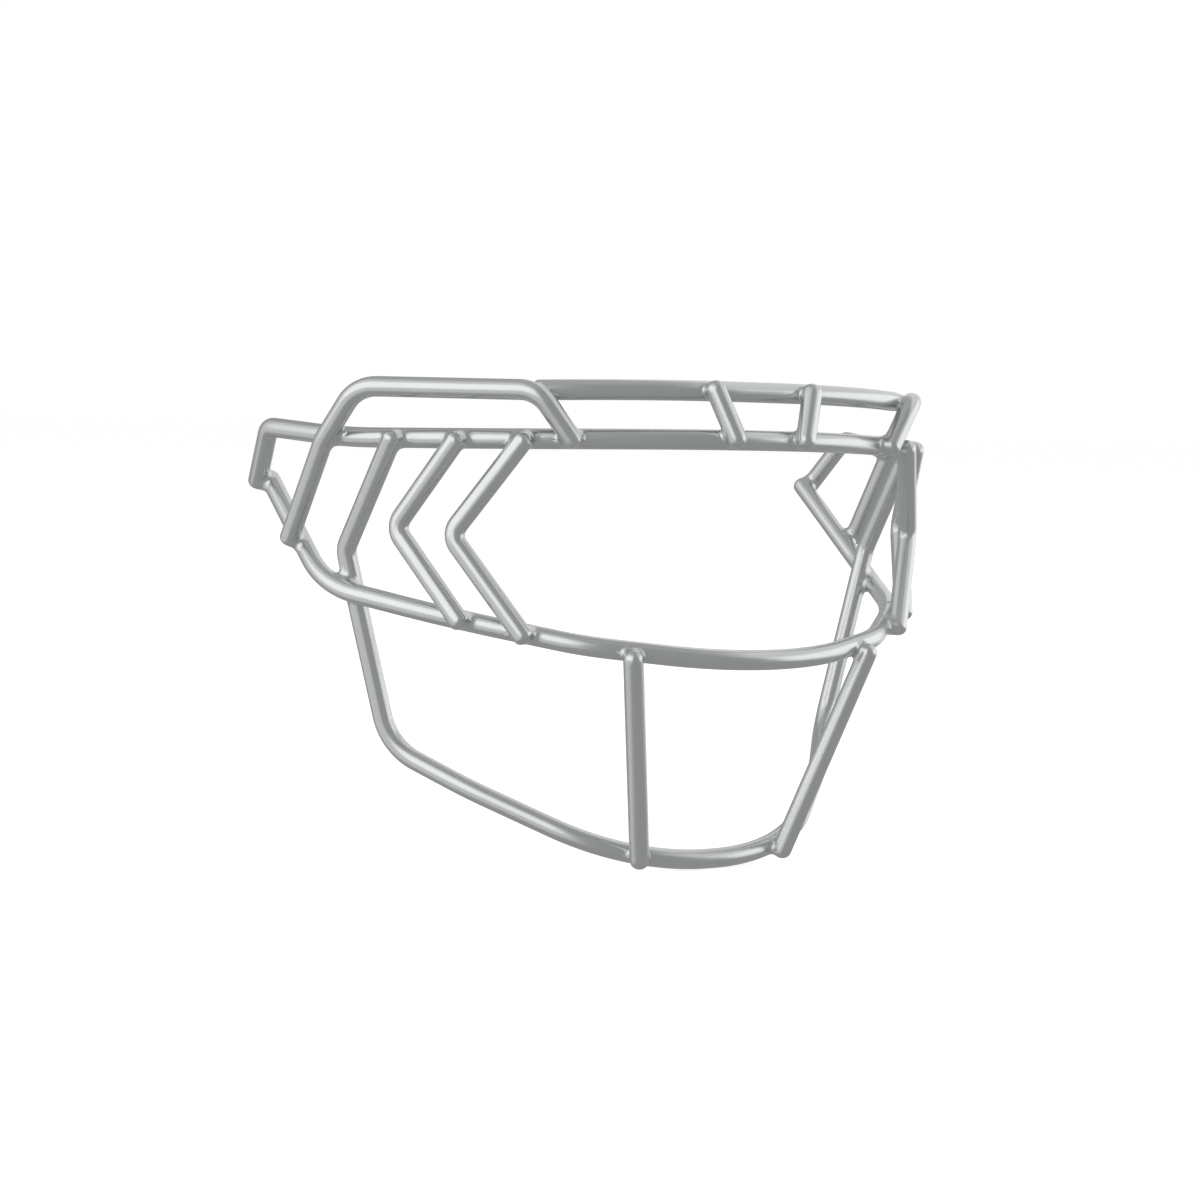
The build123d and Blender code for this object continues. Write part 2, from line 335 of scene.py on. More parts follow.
@dataclass
class Rod:
    """One wire of the guard as a smooth round rod with rounded ends."""

    name: str
    node: str
    line: Centreline
    side: Side = Side.RIGHT

    def _ring(
        self, mesh: bmesh.types.BMesh, place: Place, across: Vector, radius: float
    ) -> list[bmesh.types.BMVert]:
        """Adds one ring of vertices.

        Args:
            mesh: the mesh that grows.
            place: the ring's middle and the wire's direction there.
            across: a direction square to the wire, where the ring starts.
            radius: the ring's radius.

        Returns:
            The ring's vertices in order.
        """
        other = place.heading.cross(across)
        ring = []
        for number in range(self.line.stock.sides):
            angle = 2 * pi * number / self.line.stock.sides
            point = place.point + (across * cos(angle) + other * sin(angle)) * radius
            point.x *= self.side.sign
            ring.append(mesh.verts.new(point * MM))
        return ring

    def _profile(self) -> list[tuple[Place, float]]:
        """Places and radii of all rings, with the ends rounded over.

        Returns:
            Pairs of a place and the rod's radius there.
        """
        stock = self.line.stock
        length = self.line.length
        edge = stock.end_round
        ends = []
        for number in range(stock.end_rings + 1):
            angle = pi / 2 * number / stock.end_rings
            ends.append((edge * (1 - cos(angle)), stock.radius - edge * (1 - sin(angle))))
        body = [
            (place, stock.radius)
            for distance, place in self.line.places()
            if edge + stock.ring_gap < distance < length - edge - stock.ring_gap
        ]
        first = [(self.line.at(distance), radius) for distance, radius in ends]
        last = [(self.line.at(length - distance), radius) for distance, radius in reversed(ends)]
        return first + body + last

    def build(self) -> bpy.types.Object:
        """Builds the rod, dresses it and lets it stand for its node.

        Returns:
            The rod's object.
        """
        mesh = bmesh.new()
        profile = self._profile()
        heading = profile[0][0].heading
        across = heading.orthogonal().normalized()
        rings = []
        for place, radius in profile:
            across = heading.rotation_difference(place.heading) @ across
            across = (across - place.heading * across.dot(place.heading)).normalized()
            heading = place.heading
            rings.append(self._ring(mesh, place, across, radius))
        sides = self.line.stock.sides
        for before, after in zip(rings, rings[1:]):
            for number in range(sides):
                follow = (number + 1) % sides
                mesh.faces.new((before[number], before[follow], after[follow], after[number]))
        mesh.faces.new(rings[0])
        mesh.faces.new(rings[-1])
        return finished(mesh, self.name, self.node, Finish.COAT)


def finished(mesh: bmesh.types.BMesh, name: str, node: str, finish: Finish) -> bpy.types.Object:
    """Turns a mesh into a piece of the guard that stands for one node.

    Args:
        mesh: the closed mesh, in metres.
        name: the piece's name.
        node: the node that it stands for.
        finish: the record's slot for its material.

    Returns:
        The piece, riding on the guard's only body.
    """
    bmesh.ops.recalc_face_normals(mesh, faces=mesh.faces)
    for face in mesh.faces:
        face.smooth = True
    data = bpy.data.meshes.new(name)
    mesh.to_mesh(data)
    mesh.free()
    piece = bpy.data.objects.new(name, data)
    bpy.context.scene.collection.objects.link(piece)
    piece.data.materials.append(COATS[finish])
    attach(piece, BODY)
    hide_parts(node)
    return piece


@dataclass(frozen=True)
class Fillet:
    """How the metal of a weld flows between two rods.

    The fillet has its full blend up to fade_from, counted from the crossing's middle, and fades
    out at its reach. The sink hides it just under the rods' surfaces away from the crossing.
    Only the rods' segments within the span count. The mesh is an icosphere of a given fineness,
    and each of its points is found by steps and then by halvings.
    """

    blend: float = 3.2
    reach: float = 8.6
    fade_from: float = 4.9
    least_fade: float = 0.001
    sink: float = 0.03
    span: float = 12.0
    fineness: int = 5
    steps: int = 60
    halvings: int = 18


FILLET = Fillet()
SMALL_FILLET = Fillet(blend=2.4, reach=6.8, fade_from=3.8)

# Stands for the distance past a rod's end, in a segment that doesn't hold that end.
NOT_BEYOND = -1000.0


@dataclass(frozen=True)
class RodNearby:
    """Part of a rod near a crossing, as short segments between the rod's rounded ends.

    For each segment, ends tells whether it is the rod's first and whether it is its last.
    """

    segments: np.ndarray
    ends: np.ndarray
    end_round: float

    @classmethod
    def cut(cls, line: Centreline, middle: Vector, span: float) -> "RodNearby":
        """Takes the segments of a rod that lie near a point.

        Args:
            line: the rod's centreline.
            middle: the point.
            span: how near the middle of a segment has to be.

        Returns:
            The part of the rod.
        """
        places = line.places()
        fine = []
        for (start, _), (end, _) in zip(places, places[1:]):
            parts = max(1, ceil((end - start) / line.stock.arc_step))
            fine += [start + (end - start) * number / parts for number in range(parts)]
        fine.append(places[-1][0])
        first, last = line.stock.end_round, line.length - line.stock.end_round
        kept = [first] + [distance for distance in fine if first < distance < last] + [last]
        points = [line.at(distance).point for distance in kept]
        segments, ends = [], []
        for number, (start, end) in enumerate(zip(points, points[1:])):
            if ((start + end) / 2 - middle).length < span:
                segments.append((tuple(start), tuple(end)))
                ends.append((number == 0, number == len(points) - 2))
        return cls(np.array(segments), np.array(ends), line.stock.end_round)

    def distance(self, points: np.ndarray) -> np.ndarray:
        """Distance of points from the rod's surface, negative inside it.

        Args:
            points: the points.

        Returns:
            One distance for every point.
        """
        start, end = self.segments[:, 0], self.segments[:, 1]
        leg = end - start
        length = np.linalg.norm(leg, axis=1)
        way = leg / length[:, None]
        offset = points[:, None, :] - start[None]
        along = np.einsum("psk,sk->ps", offset, way)
        inside = np.clip(along, 0, length)
        plain = np.linalg.norm(offset - inside[..., None] * way, axis=2) - STOCK.radius
        before_first = np.where(self.ends[:, 0], -along, NOT_BEYOND)
        after_last = np.where(self.ends[:, 1], along - length, NOT_BEYOND)
        beyond = np.maximum(before_first, after_last)
        flat = STOCK.radius - self.end_round
        aside = np.linalg.norm(offset - along[..., None] * way, axis=2) - flat
        rounded = (
            np.hypot(np.maximum(aside, 0), np.maximum(beyond, 0))
            + np.minimum(np.maximum(aside, beyond), 0)
            - self.end_round
        )
        return np.where(beyond > 0, rounded, plain).min(axis=1)


@dataclass
class Crossing:
    """Weld where two rods cross: the smooth union of both near the middle of the crossing."""

    name: str
    middle: Vector
    carrier: Centreline
    seated: Centreline
    fillet: Fillet = FILLET

    def _field(self, points: np.ndarray, rods: list[RodNearby]) -> np.ndarray:
        """Distance from the filleted pair of rods, negative inside it.

        Args:
            points: the points.
            rods: both rods.

        Returns:
            One distance for every point.
        """
        fillet = self.fillet
        one, two = (rod.distance(points) for rod in rods)
        away = np.linalg.norm(points - np.array(self.middle), axis=1)
        faded = (away - fillet.fade_from) / (fillet.reach - fillet.fade_from)
        # Smooth step from the full blend down to almost none.
        strength = np.clip(1 - faded, fillet.least_fade, 1)
        blend = fillet.blend * strength * strength * (3 - 2 * strength)
        # Polynomial smooth minimum of both distances.
        share = np.maximum(blend - np.abs(one - two), 0) / blend
        return np.minimum(one, two) - share * share * blend / 4 + fillet.sink

    def _grow(self, directions: np.ndarray) -> np.ndarray:
        """How far the metal reaches from the crossing's middle in each direction.

        Args:
            directions: unit vectors.

        Returns:
            One length for every direction.
        """
        fillet = self.fillet
        lines = (self.carrier, self.seated)
        rods = [RodNearby.cut(line, self.middle, fillet.span) for line in lines]
        middle = np.array(self.middle)
        low = np.zeros(len(directions))
        high = np.full(len(directions), fillet.reach)
        open_ways = np.ones(len(directions), dtype=bool)
        for number in range(1, fillet.steps + 1):
            length = fillet.reach * number / fillet.steps
            ways = np.flatnonzero(open_ways)
            outside = self._field(middle + directions[ways] * length, rods) > 0
            high[ways[outside]] = length
            low[ways[outside]] = fillet.reach * (number - 1) / fillet.steps
            open_ways[ways[outside]] = False
        low[open_ways] = fillet.reach
        for _ in range(fillet.halvings):
            half = (low + high) / 2
            outside = self._field(middle + directions * half[:, None], rods) > 0
            high = np.where(outside, half, high)
            low = np.where(outside, low, half)
        return (low + high) / 2

    def build(self) -> list[bpy.types.Object]:
        """Builds the weld on both halves of the guard.

        Returns:
            The right and the left weld.
        """
        pattern = bmesh.new()
        bmesh.ops.create_icosphere(pattern, subdivisions=self.fillet.fineness, radius=1)
        directions = np.array([tuple(vert.co.normalized()) for vert in pattern.verts])
        points = np.array(self.middle) + directions * self._grow(directions)[:, None]
        built = []
        for side in Side:
            mesh = pattern.copy()
            for vert, point in zip(mesh.verts, points):
                vert.co = Vector((point[0] * side.sign, point[1], point[2])) * MM
            name = f"{self.name}_fillet_{side.word}"
            built.append(finished(mesh, name, f"weld_{self.name}_{side.word}", Finish.WELD))
        pattern.free()
        return built


def pair(name: str, node: str, line: Centreline) -> list[bpy.types.Object]:
    """Builds a wire of the right half and its mirror image.

    Args:
        name: the pieces' name without the side.
        node: the nodes' name without the side.
        line: the right wire's centreline.

    Returns:
        Both wires.
    """
    return [
        Rod(f"{name}_{side.word}", f"{node}_{side.word}", line, side).build() for side in Side
    ]


@dataclass
class BrowWire:
    """Wire round above the eyes, with a tail bent down behind each temple."""

    tail: Vector = corner_at(-114.9, 134.9, -20.0)
    corner: Vector = corner_at(-119.0, 116.5, 0.0)
    side: Vector = corner_at(-108.5, 79.0, -2.5)
    shoulder: Vector = corner_at(-83.0, 31.0, -1.5)
    front: Vector = corner_at(-24.0, 0.0, 0.0)
    side_bend: float = 105.0
    shoulder_bend: float = 93.0
    front_bend: float = 100.0

    def __post_init__(self) -> None:
        """Lays the centreline. Nothing carries the brow wire, so it has no welds of its own."""
        bends = [STOCK.tight_bend, self.side_bend, self.shoulder_bend, self.front_bend]
        points = [self.tail, self.corner, self.side, self.shoulder, self.front]
        self.line = whole(points, bends)
        self.welds: list[Crossing] = []

    def build(self) -> list[bpy.types.Object]:
        """Builds the wire."""
        return [Rod("brow_rod", "brow_wire", self.line).build()]


@dataclass
class JawWire:
    """Wire from inside the brow wire's tails down, forward and round in front of the mouth.

    The station on the tail is counted from the tail's own end.
    """

    brow: BrowWire
    rear: Vector = corner_at(-111.3, 87.6, -51.1)
    side: Vector = corner_at(-88.5, 44.5, -58.5)
    shoulder: Vector = corner_at(-57.0, 13.0, -65.5)
    front: Vector = corner_at(-18.5, -6.5, -69.5)
    rear_bend: float = 40.0
    side_bend: float = 125.0
    shoulder_bend: float = 55.0
    front_bend: float = 80.0
    tail_station: float = 2.6
    tail_weld_set: float = 2.2
    end: float = 1.2

    def __post_init__(self) -> None:
        """Seats the wire's start on the tail and lays the centreline."""
        tail = self.brow.line.at(self.tail_station)
        seat = seat_beside(tail, tail.point - self.rear, Face.INSIDE, self.tail_weld_set)
        start = past(self.rear, seat, self.end)
        bends = [self.rear_bend, self.side_bend, self.shoulder_bend, self.front_bend]
        self.line = whole([start, self.rear, self.side, self.shoulder, self.front], bends)
        self.welds = [Crossing("tail", midway(tail, seat), self.brow.line, self.line)]

    def build(self) -> list[bpy.types.Object]:
        """Builds the wire."""
        return [Rod("jaw_rod", "jaw_wire", self.line).build()]


@dataclass
class ChinWire:
    """Wire that hangs outside the brow wire, passes inside the jaw wire and rounds the chin."""

    brow: BrowWire
    jaw: JawWire
    corner: Vector = corner_at(-88.5, 83.5, -104.5)
    side: Vector = corner_at(-70.5, 61.0, -116.5)
    front: Vector = corner_at(-30.5, 23.0, -138.0)
    brow_station: float = 121.0
    jaw_station: float = 149.0
    kink_rise: float = 11.0
    kink_bend: float = 8.0
    corner_bend: float = 19.0
    side_bend: float = 95.0
    front_bend: float = 67.0

    def __post_init__(self) -> None:
        """Seats the wire on brow and jaw wire and lays the centreline."""
        jaw_place = self.jaw.line.from_middle(self.jaw_station)
        jaw_seat = seat_beside(jaw_place, jaw_place.point - self.corner, Face.INSIDE)
        kink = past(self.corner, jaw_seat, self.kink_rise)
        brow_place = self.brow.line.from_middle(self.brow_station)
        brow_seat = seat_beside(brow_place, brow_place.point - kink, Face.OUTSIDE)
        top = past(kink, brow_seat, STOCK.wire_end)
        bends = [self.kink_bend, self.corner_bend, self.side_bend, self.front_bend]
        self.line = whole([top, kink, self.corner, self.side, self.front], bends)
        self.welds = [
            Crossing("chin_brow", midway(brow_place, brow_seat), self.brow.line, self.line),
            Crossing("chin_jaw", midway(jaw_place, jaw_seat), self.jaw.line, self.line),
        ]

    def build(self) -> list[bpy.types.Object]:
        """Builds the wire."""
        return [Rod("chin_rod", "chin_wire", self.line).build()]


@dataclass
class SideLoops:
    """Loops up from the jaw wire past the brow wire, forward above it and down onto it."""

    brow: BrowWire
    jaw: JawWire
    rear_corner: Vector = corner_at(-110.9, 67.4, 14.0)
    front_corner: Vector = corner_at(-73.0, 17.5, 14.0)
    jaw_station: float = 176.8
    jaw_weld_set: float = 1.6
    jaw_end: float = 0.9
    rear_station: float = 147.6
    front_station: float = 62.0
    front_end: float = -0.4
    kink_drop: float = 0.5
    kink_bend: float = 20.0
    rear_bend: float = 15.0
    front_bend: float = 10.0

    def __post_init__(self) -> None:
        """Seats the loop on jaw and brow wire and lays the centreline."""
        jaw_place = self.jaw.line.from_middle(self.jaw_station)
        rear_place = self.brow.line.from_middle(self.rear_station)
        front_place = self.brow.line.from_middle(self.front_station)
        rise = rear_place.point - jaw_place.point
        fall = front_place.point - self.front_corner
        jaw_seat = seat_beside(jaw_place, rise, Face.OUTSIDE, self.jaw_weld_set)
        rear_seat = seat_beside(rear_place, rise, Face.OUTSIDE)
        front_seat = seat_beside(front_place, fall, Face.OUTSIDE)
        points = [
            past(rear_seat, jaw_seat, self.jaw_end),
            past(jaw_seat, rear_seat, -self.kink_drop),
            self.rear_corner,
            self.front_corner,
            past(self.front_corner, front_seat, self.front_end),
        ]
        self.line = Centreline(points, [self.kink_bend, self.rear_bend, self.front_bend])
        self.welds = [
            Crossing("loop_jaw", midway(jaw_place, jaw_seat), self.jaw.line, self.line),
            Crossing("loop_rear", midway(rear_place, rear_seat), self.brow.line, self.line),
            Crossing("loop_front", midway(front_place, front_seat), self.brow.line, self.line),
        ]

    def build(self) -> list[bpy.types.Object]:
        """Builds both loops."""
        return pair("side_loop_rod", "side_loop", self.line)


@dataclass
class TopBar:
    """Bar bowed forward above the brow wire, its ends laid along the inside of the loops."""

    loops: SideLoops
    lap: float = 4.2
    weld_ahead: float = 1.0
    inset: float = 32.5
    bow: float = 12.5
    rise: float = 1.3
    bend: float = 118.0

    def __post_init__(self) -> None:
        """Lays the bar's ends beside the loops and lays the centreline."""
        corner = self.loops.front_corner
        top = (self.loops.rear_corner - corner).normalized()
        inward = top.cross(UP).normalized() * (STOCK.diameter - STOCK.weld_set)
        end = corner + top * self.lap + inward
        front = corner + Vector((self.inset, -self.bow, self.rise))
        self.line = whole([end, front], [self.bend])
        middle = corner + top * (self.lap + self.weld_ahead) + inward / 2
        self.welds = [Crossing("top_bar", middle, self.loops.line, self.line)]

    def build(self) -> list[bpy.types.Object]:
        """Builds the bar."""
        return [Rod("top_bar_rod", "top_bar", self.line).build()]


@dataclass
class Chevron:
    """Pair of bent uprights on the cheeks, from brow to jaw wire, with the elbow set back."""

    name: str
    brow: BrowWire
    jaw: JawWire
    brow_station: float
    jaw_station: float
    spread: float
    setback: float
    upper_end: float = 1.4
    lower_end: float = 1.0

    def __post_init__(self) -> None:
        """Seats the upright on brow and jaw wire and lays the centreline."""
        upper = self.brow.line.from_middle(self.brow_station)
        lower = self.jaw.line.from_middle(self.jaw_station)
        elbow = (upper.point + lower.point) / 2 + Vector((-self.spread, self.setback, 0))
        upper_seat = seat_beside(upper, upper.point - elbow, Face.OUTSIDE)
        lower_seat = seat_beside(lower, lower.point - elbow, Face.OUTSIDE)
        points = [
            past(elbow, upper_seat, self.upper_end),
            elbow,
            past(elbow, lower_seat, self.lower_end),
        ]
        self.line = Centreline(points, [STOCK.tight_bend])
        brow_weld, jaw_weld = f"{self.name}_brow", f"{self.name}_jaw"
        self.welds = [
            Crossing(brow_weld, midway(upper, upper_seat), self.brow.line, self.line),
            Crossing(jaw_weld, midway(lower, lower_seat), self.jaw.line, self.line),
        ]

    def build(self) -> list[bpy.types.Object]:
        """Builds both uprights."""
        return pair(f"{self.name}_rod", self.name, self.line)


@dataclass
class Upright:
    """Pair of straight uprights pressed against the front of two wires."""

    name: str
    upper: Centreline
    lower: Centreline
    upper_weld: str
    lower_weld: str
    upper_station: float
    lower_station: float
    upper_end: float
    lower_end: float

    def __post_init__(self) -> None:
        """Seats the upright on its two wires and lays the centreline."""
        above = self.upper.from_middle(self.upper_station)
        below = self.lower.from_middle(self.lower_station)
        fall = below.point - above.point
        high = seat_beside(above, fall, Face.OUTSIDE)
        low = seat_beside(below, fall, Face.OUTSIDE)
        points = [past(low, high, self.upper_end), past(high, low, self.lower_end)]
        self.line = Centreline(points, [], ROUND_ENDED)
        upper_name, lower_name = f"{self.name}_{self.upper_weld}", f"{self.name}_{self.lower_weld}"
        self.welds = [
            Crossing(upper_name, midway(above, high), self.upper, self.line, SMALL_FILLET),
            Crossing(lower_name, midway(below, low), self.lower, self.line, SMALL_FILLET),
        ]

    def build(self) -> list[bpy.types.Object]:
        """Builds both uprights."""
        return pair(f"{self.name}_rod", self.name, self.line)


class NodeKit:
    """Adds and links the nodes of one node tree."""

    def __init__(self, tree: bpy.types.NodeTree) -> None:
        """Keeps the node tree that nodes are added to."""
        self.tree = tree

    @classmethod
    def emptied(cls, owner: bpy.types.Material | bpy.types.World) -> "NodeKit":
        """Kit for the nodes of a material or a world, once those it came with are gone.

        Args:
            owner: the material or the world.
        """
        owner.use_nodes = True
        owner.node_tree.nodes.clear()
        return cls(owner.node_tree)

    def add(
        self, kind: str, inputs: dict[str | int, object] | None = None, **settings: object
    ) -> bpy.types.Node:
        """Adds a node.

        Args:
            kind: the node's type name.
            inputs: for each input's name or number, its value or the socket that feeds it.
            settings: attributes to set on the node before its inputs.

        Returns:
            The new node.
        """
        node = self.tree.nodes.new(kind)
        for name, value in settings.items():
            setattr(node, name, value)
        for name, value in (inputs or {}).items():
            if isinstance(value, bpy.types.NodeSocket):
                self.tree.links.new(value, node.inputs[name])
            else:
                node.inputs[name].default_value = value
        return node

    def seen_or_mirrored(
        self, seen: bpy.types.NodeSocket, mirrored_in: bpy.types.NodeSocket
    ) -> bpy.types.NodeSocket:
        """Chooses a shader by where it shows.

        Args:
            seen: the shader that the camera sees.
            mirrored_in: the shader for all other rays, such as those the wires mirror.

        Returns:
            The chosen shader.
        """
        ray = self.add("ShaderNodeLightPath")
        chosen = {"Fac": ray.outputs["Is Camera Ray"], 1: mirrored_in, 2: seen}
        return self.add("ShaderNodeMixShader", chosen).outputs["Shader"]


class SatinCoatGroup:
    """Shader node group with the coat's tone, roughness and surface height.

    A fine grain and a slow flow of the coat each give a mask, and the two masks are mixed.
    """

    NAME = "satin_coat_surface"
    INPUTS = {
        "Tone": "NodeSocketColor",
        "Worn Tone": "NodeSocketColor",
        "Roughness": "NodeSocketFloat",
        "Roughness Range": "NodeSocketFloat",
        "Grain Scale": "NodeSocketFloat",
        "Flow Scale": "NodeSocketFloat",
        "Flow Share": "NodeSocketFloat",
    }
    OUTPUTS = {
        "Color": "NodeSocketColor",
        "Roughness": "NodeSocketFloat",
        "Height": "NodeSocketFloat",
    }
    GRAIN_NOISE = {"Detail": 3.0, "Roughness": 0.55}
    GRAIN_MASK = {"From Min": 0.35, "From Max": 0.7}
    FLOW_NOISE = {"Detail": 2.0, "Roughness": 0.5}
    FLOW_MASK = {"From Min": 0.38, "From Max": 0.68}
    GRAIN_SHARE = 0.45

    @classmethod
    def get(cls) -> bpy.types.NodeTree:
        """The group, built the first time that it is asked for."""
        return bpy.data.node_groups.get(cls.NAME) or cls._make()

    @classmethod
    def _make(cls) -> bpy.types.NodeTree:
        """Builds the group.

        Returns:
            The node group.
        """
        group = bpy.data.node_groups.new(cls.NAME, "ShaderNodeTree")
        for name, kind in cls.INPUTS.items():
            group.interface.new_socket(name=name, in_out="INPUT", socket_type=kind)
        for name, kind in cls.OUTPUTS.items():
            group.interface.new_socket(name=name, in_out="OUTPUT", socket_type=kind)
        kit = NodeKit(group)
        given = kit.add("NodeGroupInput").outputs
        place = kit.add("ShaderNodeTexCoord").outputs["Object"]
        grain, grain_mask = cls._pattern(
            kit, {"Vector": place, "Scale": given["Grain Scale"], **cls.GRAIN_NOISE}, cls.GRAIN_MASK
        )
        flow, flow_mask = cls._pattern(
            kit, {"Vector": place, "Scale": given["Flow Scale"], **cls.FLOW_NOISE}, cls.FLOW_MASK
        )
        masks = {"Factor": cls.GRAIN_SHARE, "A": flow_mask, "B": grain_mask}
        mask = kit.add("ShaderNodeMix", masks, data_type="FLOAT").outputs["Result"]
        tones = {"Factor": mask, "A": given["Tone"], "B": given["Worn Tone"]}
        tone = kit.add("ShaderNodeMix", tones, data_type="RGBA").outputs["Result"]
        factors = {0: mask, 1: given["Roughness Range"]}
        spread = kit.add("ShaderNodeMath", factors, operation="MULTIPLY").outputs["Value"]
        terms = {0: spread, 1: given["Roughness"]}
        rough = kit.add("ShaderNodeMath", terms, operation="ADD").outputs["Value"]
        heights = {"Factor": given["Flow Share"], "A": grain, "B": flow}
        height = kit.add("ShaderNodeMix", heights, data_type="FLOAT").outputs["Result"]
        kit.add("NodeGroupOutput", {"Color": tone, "Roughness": rough, "Height": height})
        return group

    @staticmethod
    def _pattern(
        kit: NodeKit, noise: dict[str, object], mask: dict[str, float]
    ) -> tuple[bpy.types.NodeSocket, bpy.types.NodeSocket]:
        """Adds one noise and the mask that is cut from it.

        Args:
            kit: the group's kit.
            noise: the noise's inputs.
            mask: the noise's values where the mask starts and where it is full.

        Returns:
            The noise and the mask.
        """
        value = kit.add("ShaderNodeTexNoise", noise, noise_dimensions="3D").outputs["Fac"]
        edges = {"Value": value, **mask}
        cut = kit.add("ShaderNodeMapRange", edges, interpolation_type="SMOOTHSTEP")
        return value, cut.outputs["Result"]


@dataclass(frozen=True)
class CoatFinish:
    """Satin silver coat baked on over steel: its colours, gloss and surface."""

    name: str
    tone: tuple[float, float, float] = (0.590, 0.605, 0.605)
    worn_tone: tuple[float, float, float] = (0.608, 0.623, 0.624)
    metallic: float = 0.9
    roughness: float = 0.245
    roughness_range: float = 0.025
    grain_scale: float = 600.0
    flow_scale: float = 60.0
    flow_share: float = 0.35
    bump_strength: float = 0.012
    bump_depth: float = 0.00012
    coat: float = 0.22
    coat_roughness: float = 0.17

    def make(self) -> bpy.types.Material:
        """Builds the material.

        Returns:
            The material.
        """
        material = bpy.data.materials.new(self.name)
        kit = NodeKit.emptied(material)
        values = {
            "Tone": (*self.tone, 1),
            "Worn Tone": (*self.worn_tone, 1),
            "Roughness": self.roughness,
            "Roughness Range": self.roughness_range,
            "Grain Scale": self.grain_scale,
            "Flow Scale": self.flow_scale,
            "Flow Share": self.flow_share,
        }
        surface = kit.add("ShaderNodeGroup", values, node_tree=SatinCoatGroup.get()).outputs
        relief = {
            "Strength": self.bump_strength,
            "Distance": self.bump_depth,
            "Height": surface["Height"],
        }
        look = {
            "Base Color": surface["Color"],
            "Metallic": self.metallic,
            "Roughness": surface["Roughness"],
            "Coat Weight": self.coat,
            "Coat Roughness": self.coat_roughness,
            "Normal": kit.add("ShaderNodeBump", relief).outputs["Normal"],
        }
        shader = kit.add("ShaderNodeBsdfPrincipled", look)
        kit.add("ShaderNodeOutputMaterial", {"Surface": shader.outputs["BSDF"]})
        return material


COATS = {
    Finish.COAT: CoatFinish("satin_silver_coat").make(),
    Finish.WELD: CoatFinish(
        "satin_weld_coat",
        roughness=0.27,
        grain_scale=450.0,
        flow_scale=160.0,
        bump_strength=0.02,
    ).make(),
}


@dataclass(frozen=True)
class SoftBox:
    """Rectangular studio light that points at the guard, in metres and watts."""

    name: str
    place: tuple[float, float, float]
    size: tuple[float, float]
    power: float
    aim: tuple[float, float, float] = (0.0, 0.05, -0.05)

    def build(self) -> bpy.types.Object:
        """Adds the light.

        Returns:
            The light, which the camera doesn't see.
        """
        data = bpy.data.lights.new(self.name, "AREA")
        data.shape = "RECTANGLE"
        data.size, data.size_y = self.size
        data.energy = self.power
        lamp = bpy.data.objects.new(self.name, data)
        lamp.location = self.place
        lamp.visible_camera = False
        beam = Vector(self.aim) - lamp.location
        lamp.rotation_euler = beam.to_track_quat("-Z", "Y").to_euler()
        bpy.context.scene.collection.objects.link(lamp)
        return lamp


@dataclass
class Studio:
    """Pale floor, white surroundings and soft boxes on both sides and above, in metres."""

    floor_half: float = 40.0
    floor_tone: float = 0.5
    floor_glow: float = 0.8
    sky: float = 1.0
    sky_in_reflections: float = 0.39
    boxes: list[SoftBox] = field(
        default_factory=lambda: [
            SoftBox("left_box", place=(-1.46, -0.13, 0.42), size=(2.6, 1.5), power=8.3),
            SoftBox("left_screen", place=(-1.99, 0.17, 0.3), size=(5.6, 5.6), power=38.0),
            SoftBox("right_box", place=(1.43, -0.41, 0.21), size=(2.1, 1.0), power=3.4),
            SoftBox("right_screen", place=(1.95, 0.0, 0.8), size=(5.6, 3.7), power=32.0),
            SoftBox("overhead_screen", place=(0.0, 0.3, 2.4), size=(3.6, 3.6), power=5.0),
        ]
    )

    def _floor_material(self) -> bpy.types.Material:
        """Pale matt floor that glows towards the camera and that the wires don't mirror.

        Returns:
            The floor's material.
        """
        material = bpy.data.materials.new("pale_floor")
        kit = NodeKit.emptied(material)
        glow = kit.add("ShaderNodeEmission", {"Strength": self.floor_glow}).outputs["Emission"]
        tone = (self.floor_tone, self.floor_tone, self.floor_tone, 1)
        matt = kit.add("ShaderNodeBsdfDiffuse", {"Color": tone}).outputs["BSDF"]
        seen = kit.add("ShaderNodeAddShader", {0: glow, 1: matt}).outputs["Shader"]
        clear = kit.add("ShaderNodeBsdfTransparent").outputs["BSDF"]
        kit.add("ShaderNodeOutputMaterial", {"Surface": kit.seen_or_mirrored(seen, clear)})
        return material

    def _world(self) -> None:
        """White surroundings, dimmer in reflections."""
        world = bpy.data.worlds.new("studio")
        kit = NodeKit.emptied(world)
        seen, mirrored_in = (
            kit.add("ShaderNodeBackground", {"Color": WHITE, "Strength": strength})
            for strength in (self.sky, self.sky_in_reflections)
        )
        sky = kit.seen_or_mirrored(seen.outputs["Background"], mirrored_in.outputs["Background"])
        kit.add("ShaderNodeOutputWorld", {"Surface": sky})
        bpy.context.scene.world = world

    def build(self, floor_height: float) -> None:
        """Builds floor, surroundings and lights.

        Args:
            floor_height: the guard's lowest point.
        """
        mesh = bmesh.new()
        half = self.floor_half
        corners = [(-half, -half), (half, -half), (half, half), (-half, half)]
        mesh.faces.new([mesh.verts.new((x, y, floor_height)) for x, y in corners])
        data = bpy.data.meshes.new("floor")
        mesh.to_mesh(data)
        mesh.free()
        floor = bpy.data.objects.new("floor", data)
        floor.data.materials.append(self._floor_material())
        bpy.context.scene.collection.objects.link(floor)
        self._world()
        for box in self.boxes:
            box.build()
        bpy.context.scene.view_settings.view_transform = "Standard"


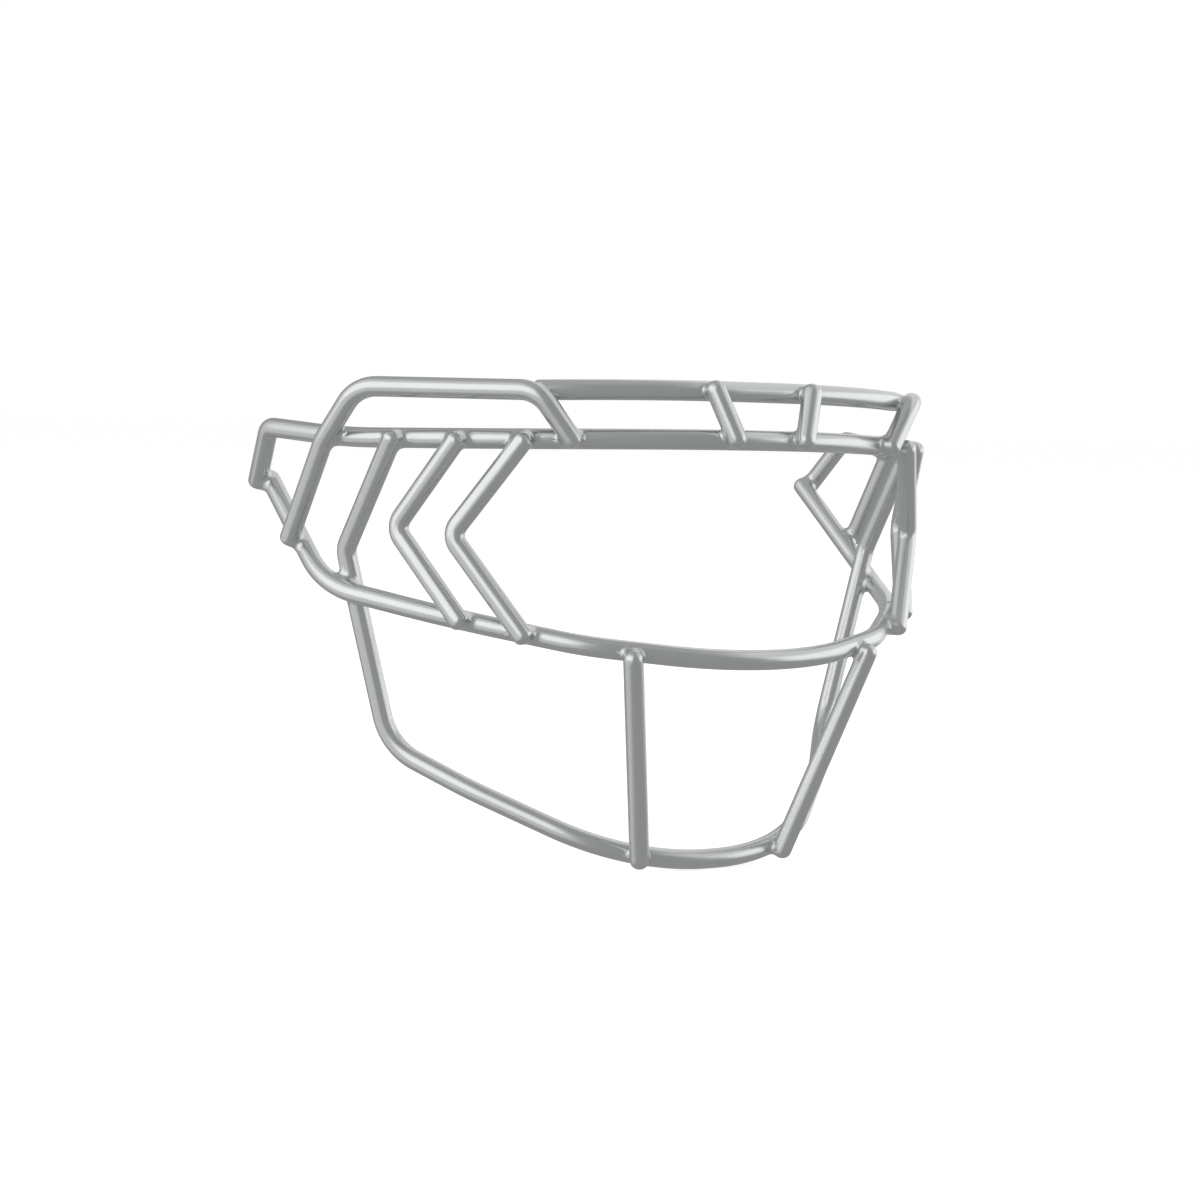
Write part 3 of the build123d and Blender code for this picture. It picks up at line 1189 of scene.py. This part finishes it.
@dataclass(frozen=True)
class PhotoCamera:
    """Camera where the photograph was taken from, in millimetres and degrees."""

    azimuth: float = 31.4177
    elevation: float = 3.9923
    roll: float = -1.5349
    place: tuple[float, float, float] = (-475.727, -681.781, 5.694)
    focal_length: float = 77.986
    sensor: float = 36.0
    near_clip: float = 10.0
    far_clip: float = 100000.0

    def build(self) -> bpy.types.Object:
        """Adds the camera and makes it the scene's.

        Returns:
            The camera.
        """
        azimuth, elevation = radians(self.azimuth), radians(self.elevation)
        turn = radians(self.roll)
        level_part = cos(elevation)
        forward = Vector((sin(azimuth) * level_part, cos(azimuth) * level_part, -sin(elevation)))
        level = Vector((cos(azimuth), -sin(azimuth), 0))
        down = forward.cross(level)
        across = level * cos(turn) + down * sin(turn)
        below = down * cos(turn) - level * sin(turn)
        data = bpy.data.cameras.new("photo_camera")
        data.sensor_width = self.sensor
        data.lens = self.focal_length
        data.clip_start, data.clip_end = self.near_clip * MM, self.far_clip * MM
        camera = bpy.data.objects.new("photo_camera", data)
        axes = Matrix((across, -below, -forward)).transposed().to_4x4()
        camera.matrix_world = Matrix.Translation(Vector(self.place) * MM) @ axes
        bpy.context.scene.collection.objects.link(camera)
        bpy.context.scene.camera = camera
        return camera


def main() -> None:
    """Builds the camera, the guard's wires and welds in order, and the studio."""
    logging.basicConfig(level=logging.INFO, format="%(message)s")
    PhotoCamera().build()
    brow = BrowWire()
    jaw = JawWire(brow)
    chin = ChinWire(brow, jaw)
    loops = SideLoops(brow, jaw)
    bar = TopBar(loops)
    rear = Chevron(
        "rear_chevron", brow, jaw, brow_station=98.0, jaw_station=99.5, spread=16.2, setback=17.7
    )
    front = Chevron(
        "front_chevron", brow, jaw, brow_station=77.5, jaw_station=78.5, spread=20.3, setback=14.1
    )
    short = Upright(
        "short_upright",
        upper=bar.line,
        lower=brow.line,
        upper_weld="top",
        lower_weld="brow",
        upper_station=18.5,
        lower_station=13.0,
        upper_end=1.8,
        lower_end=4.0,
    )
    long = Upright(
        "long_upright",
        upper=jaw.line,
        lower=chin.line,
        upper_weld="jaw",
        lower_weld="chin",
        upper_station=45.5,
        lower_station=26.5,
        upper_end=3.0,
        lower_end=1.8,
    )
    for part in (brow, jaw, chin, loops, bar, rear, front, short, long):
        for piece in part.build():
            LOG.info("wire %s: %d faces", piece.name, len(piece.data.polygons))
        for weld in part.welds:
            for piece in weld.build():
                LOG.info("weld %s: %d faces", piece.name, len(piece.data.polygons))
    Studio().build(floor_height=cad_box[0][2])


if __name__ == "__main__":
    main()
